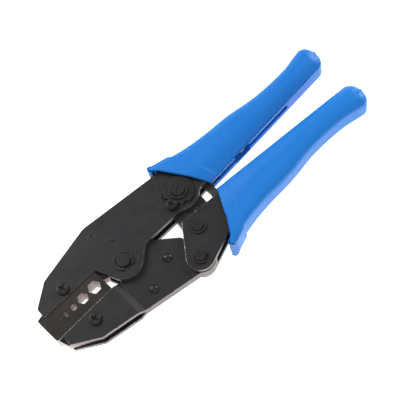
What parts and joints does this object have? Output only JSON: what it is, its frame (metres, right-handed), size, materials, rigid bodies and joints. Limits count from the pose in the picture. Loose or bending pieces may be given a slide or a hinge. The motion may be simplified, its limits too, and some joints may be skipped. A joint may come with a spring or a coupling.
{
  "type": "ratchet crimping tool",
  "caption": "Hand crimping tool with a compound-action plate head, interchangeable crimp dies, a toggle link, a ratchet and two moulded grips.",
  "frame": {"origin": "middle of the tool's bounding box in plan, on the plane that the undersides of the grips lie in", "axes": "+X from the jaws to the handle ends, +Y towards the fixed handle, +Z out of the front plates; the tool lies on its back plates' side with its jaws closed"},
  "size_m": [0.2166, 0.0698, 0.017],
  "materials": {
    "plate": "satin black oxide on stamped steel",
    "die": "black oxide on milled tool steel",
    "pin": "semi-gloss black oxide",
    "clip": "black spring steel",
    "spacer": "turned steel",
    "ratchet": "dark hardened steel",
    "spring": "yellow-plated spring wire",
    "grip": "satin blue moulded plastic"
  },
  "bodies": {
    "frame": {"frame_plate_front": "plate", "frame_plate_back": "plate", "upper_die": "die", "upper_die_screw": "pin", "main_pivot_pin": "pin", "main_pivot_clip": "clip", "eccentric_pin": "pin", "eccentric_clip": "clip", "adjusting_wheel": "pin", "lock_screw": "pin", "frame_rivets": "pin", "frame_spacers": "spacer", "spring_anchor_pin": "pin", "pawl_pin": "pin", "pawl_spring_pin": "pin", "fixed_grip": "grip", "return_spring": "spring", "pawl_spring": "spring"},
    "jaw": {"jaw_plate_front": "plate", "jaw_plate_back": "plate", "lower_die": "die", "lower_die_screw": "pin", "jaw_rivets": "pin"},
    "handle": {"handle_plate_front": "plate", "handle_plate_back": "plate", "handle_pin": "pin", "handle_pin_clip": "clip", "toggle_pin": "pin", "toggle_pin_clip": "clip", "ratchet_sector": "ratchet", "sector_rivets": "pin", "handle_rivets": "pin", "handle_spacers": "spacer", "moving_grip": "grip"},
    "link": {"link_plate_front": "plate", "link_plate_back": "plate", "link_rivet": "pin", "link_spring_pin": "pin"},
    "pawl": {"pawl": "ratchet"}
  },
  "joints": [
    {"name": "jaw_pivot", "type": "hinge", "parent": "frame", "child": "jaw", "pos_m": [-0.053, 0.00186, 0.0085], "axis": [0, 0, 1], "range_deg": [0, 12]},
    {"name": "handle_pivot", "type": "hinge", "parent": "jaw", "child": "handle", "pos_m": [-0.0224, -0.02654, 0.0085], "axis": [0, 0, 1], "range_deg": [-44.2, 0]},
    {"name": "link_pivot", "type": "hinge", "parent": "frame", "child": "link", "pos_m": [-0.0047, 0.01036, 0.0085], "axis": [0, 0, 1], "range_deg": [0, 26.8], "deforming": ["return_spring"]},
    {"name": "pawl_pivot", "type": "hinge", "parent": "frame", "child": "pawl", "pos_m": [0.0236, 0.01946, 0.0085], "axis": [0, 0, 1], "range_deg": [-8, 8], "stiffness_Nm_per_rad": 0.02, "deforming": ["pawl_spring"]}
  ],
  "couplings": [
    {"joint": "handle_pivot", "follows": "jaw_pivot", "ratio": -3.68},
    {"joint": "link_pivot", "follows": "jaw_pivot", "ratio": 2.23}
  ]
}
